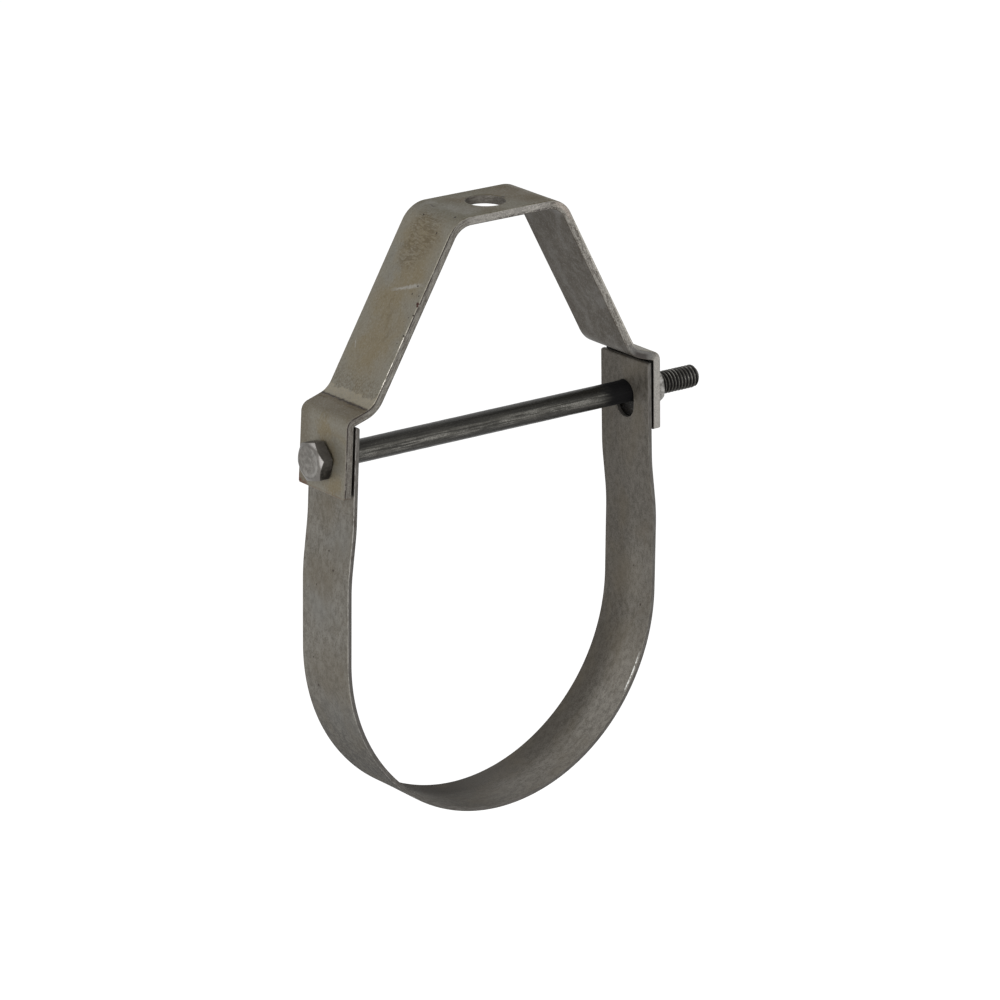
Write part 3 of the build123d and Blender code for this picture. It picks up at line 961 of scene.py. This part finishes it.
def boltMaterial(k):
    steel, tree, shader = newMaterial("oxideBolt", k)
    place = millimetres(tree)
    x, y, up = place.axis("X"), place.axis("Y"), place.axis("Z") - boltZ
    radius = (y * y + up * up).math("SQRT")
    streaks, scuffs, fine, smudges = grains(place, k, "streaks", "scuffs", "fine", "smudges")

    # the shank's upper and lower sides have painted shade, its front side has rubbed streaks set in a painted
    # sheen band, and painted shade, near black, lies on it by the right ear
    rubSheenBand = abs(up - x.step(-60.0, 50.0, 0.0, 0.7)).step(2.2, 0.5)
    rub = streaks.step(0.42, 0.58, 0.12, 1.0) * fine.step(0.4, 0.6, 0.25, 1.0)
    rub = rub * smudges.step(0.38, 0.6, 0.25, 1.0) * 0.85
    earShade = (x + smudges * 8.0).step(*k["earShadeStart"]) * x.step(*k["earShadeEnd"])
    shank = coated(
        k, "oxideDark",
        (streaks.step(0.4, 0.6), "oxide"),
        (up.step(1.4, 2.8, 0.0, 0.6), "sideShade"),
        (up.step(-0.4, -1.8, 0.0, 0.75), "sideShade"),
        (rub * rubSheenBand, "rubbed"),
        (fine.step(0.55, 0.75, 0.0, 0.25), "rubbed"),
        (earShade * 0.97, "earShade"),
    )
    # painted glints on the crests, on their upper side
    crests = radius.step(3.8, 3.95) * smudges.step(0.5, 0.62, 0.0, 0.7)
    thread = coated(
        k, "root",
        (radius.step(3.45, 3.93), "crest"),
        (scuffs.step(0.4, 0.62, 0.5, 0.0), "root"),
        (crests * up.step(-0.5, 2.0), "crestGlint"),
    )
    color = blend(x.step(nutLow[0] - 1.0, nutLow[0]), shank, thread)

    # head: a satin face with a painted highlight on the ring's right side and painted shade towards its left,
    # a bright chamfer cut by the hexagon with painted highlights on two corners, darker flanks with painted
    # shade on the lower ones
    patches = grain(place, *k["patches"])
    top, turn = bolt["topRadius"], math.radians(bolt["turn"])
    ring = abs(radius - (bolt["dishRadius"] - 0.1)).step(1.1, 0.1)
    towardsRight = y * -0.8 - up * 0.6
    face = coated(
        k, "headDark",
        (patches.step(0.4, 0.62), "head"),
        (ring * towardsRight.step(-2.0, 4.0, 0.05, 0.5), "ring"),
        (towardsRight.step(0.5, -5.5, 0.0, 0.45), "headDark"),
        (abs(radius - (top - 0.25)).step(0.3, 0.08) * 0.28, "circle"),
    )
    corners = [(y * math.cos(a) + up * math.sin(a)).step(5.6, 6.5) for a in (turn, turn - math.pi / 3)]
    chamfer = coated(k, "chamfer", (greatest(corners) * patches.step(0.3, 0.55, 0.55, 1.0), "corner"))
    flank = coated(
        k, "flankDark",
        (up.step(-2.5, 0.5), "flank"),
        (patches.step(0.42, 0.66, 0.0, 0.4), "headDark"),
    )
    pastTop = (radius - top).math("MAXIMUM", 0.0)
    depth = x - boltLow[0] - pastTop * math.tan(math.radians(bolt["chamferAngle"]))
    head = blend(radius.step(top - 0.1, top + 0.1, 0.0, 0.9), face, chamfer)
    head = blend(depth.step(bolt["dish"] + 0.08, bolt["dish"] + 0.22), head, flank)
    headEnd = boltLow[0] + bolt["headHeight"]
    color = blend(x.step(headEnd + 0.1, headEnd - 0.1), color, head)
    roughness = scuffs.step(0.3, 0.7, 0.34, 0.48) + earShade * 0.45
    finishSteel(shader, color, roughness, [(fine, 0.008), (scuffs, 0.015)])
    return steel


# Nut: pale zinc-like finish, dulled in patches, with painted shade on its lower part
nutSteel = {
    "light": tone(178, 176, 172), "dark": tone(98, 96, 92),
    "metallic": 0.6,
    "specular": 0.5,
    "patches": ((0.4, 0.4, 0.4), 5.0, 0.6),
    "fine": ((2.6, 2.6, 2.6), 4.0, 0.65),
}


def nutMaterial(k):
    steel, tree, shader = newMaterial("dullNut", k)
    place = millimetres(tree)
    patches, fine = grains(place, k, "patches", "fine")
    color = coated(
        k, "dark",
        (patches.step(0.36, 0.64), "light"),
        (fine.step(0.5, 0.75, 0.0, 0.6), "dark"),
        # painted shade on the nut's lower part
        (place.axis("Z").step(boltZ - 1.5, boltZ - 5.0, 0.0, 0.55), "dark"),
    )
    finishSteel(shader, color, patches.step(0.3, 0.7, 0.5, 0.36), [(fine, 0.02), (patches, 0.05)])
    return steel


upperYoke.data.materials.append(yokeMaterial(yokeSteel))
lowerStrap.data.materials.append(strapMaterial(strapSteel))
crossBolt.data.materials.append(boltMaterial(boltSteel))
hexNut.data.materials.append(nutMaterial(nutSteel))
print("materials made")


# Camera: azimuth from +Y towards +X, elevation above the horizon, millimetres from the aim point
camera = {
    "aim": (-0.35, -10.05, -98.17),
    "azimuth": 37.885,
    "elevation": 18.562,
    "roll": 0.634,
    "distance": 2016.67,
    "lens": 218.25,
    "clip": (0.05, 50.0),
}


def placeCamera(c):
    azimuth, elevation, roll = (math.radians(c[key]) for key in ("azimuth", "elevation", "roll"))
    level = math.cos(elevation)
    forward = Vector((math.sin(azimuth) * level, math.cos(azimuth) * level, -math.sin(elevation)))
    right = Vector((math.cos(azimuth), -math.sin(azimuth), 0))
    up = right.cross(forward)
    rolledRight = right * math.cos(roll) + up * math.sin(roll)
    rolledUp = up * math.cos(roll) - right * math.sin(roll)
    turn = Matrix((rolledRight, rolledUp, -forward)).transposed().to_4x4()
    data = bpy.data.cameras.new("photoCamera")
    data.lens = c["lens"]
    data.clip_start, data.clip_end = c["clip"]
    obj = newObject("photoCamera", data)
    obj.matrix_world = Matrix.Translation(Vector(c["aim"]) * mm - forward * c["distance"] * mm) @ turn
    bpy.context.scene.camera = obj


placeCamera(camera)

# Studio: soft panels round the hanger, given as name, place, size and power in metres and watts
studio = {
    "panels": [
        ("keyPanel", (-1.5, -0.8, 0.35), 1.1, 20.0),
        ("frontPanel", (0.2, -1.9, 0.45), 1.0, 9.0),
    ],
    "aim": (0.0, 0.0, -0.1),
    "ambient": 0.42,
    "floorDrop": 0.25,
    "floorSize": 40.0,
    "floorGlow": 0.75,
    "paper": tone(206, 206, 206), "paperLight": tone(212, 212, 212),
    "paperGrain": ((3.0, 3.0, 3.0), 3.0),
    "paperRoughness": 0.9,
    "metallic": 0.0,
    "specular": 0.0,
}


def addPanel(label, place, size, power, aim):
    data = bpy.data.lights.new(label, "AREA")
    data.shape, data.size, data.energy = "SQUARE", size, power
    panel = newObject(label, data)
    panel.location = place
    panel.rotation_euler = (Vector(aim) - Vector(place)).to_track_quat("-Z", "Y").to_euler()


# 1 for camera, glossy and transmission rays, which see the plain white background
def seesBackground(tree):
    kinds = ("Is Camera Ray", "Is Glossy Ray", "Is Transmission Ray")
    return greatest([wire(tree, "ShaderNodeLightPath", {}, kind) for kind in kinds])


def whiteWorld(k):
    world = bpy.data.worlds.new("studioWhite")
    world.use_nodes = True
    background = world.node_tree.nodes["Background"]
    background.inputs["Color"].default_value = (1, 1, 1, 1)
    seesBackground(world.node_tree).step(0.0, 1.0, k["ambient"], 1.0).into(background, "Strength")
    bpy.context.scene.world = world


def paperMaterial(k):
    paper, tree, shader = newMaterial("palePaper", k)
    shader.inputs["Roughness"].default_value = k["paperRoughness"]
    shader.inputs["Emission Color"].default_value = (1, 1, 1, 1)
    mottle = grain(wire(tree, "ShaderNodeTexCoord", {}, "Object"), *k["paperGrain"])
    blend(mottle, k["paper"], k["paperLight"]).into(shader, "Base Color")
    seesBackground(tree).step(0.0, 1.0, 0.0, k["floorGlow"]).into(shader, "Emission Strength")
    return paper


# The floor lies below the hanging part: white to the camera, with the part's shadow kept in its diffuse share
def addFloor(k):
    mesh = bpy.data.meshes.new("studioFloor")
    half, height = k["floorSize"] / 2, strapLow[2] * mm - k["floorDrop"]
    corners = [(x * half, y * half, height) for x, y in ((-1, -1), (1, -1), (1, 1), (-1, 1))]
    mesh.from_pydata(corners, [], [(0, 1, 2, 3)])
    mesh.materials.append(paperMaterial(k))
    newObject("studioFloor", mesh)


for panel in studio["panels"]:
    addPanel(*panel, studio["aim"])
whiteWorld(studio)
addFloor(studio)
bpy.context.scene.view_settings.view_transform = "Standard"
print("studio made")
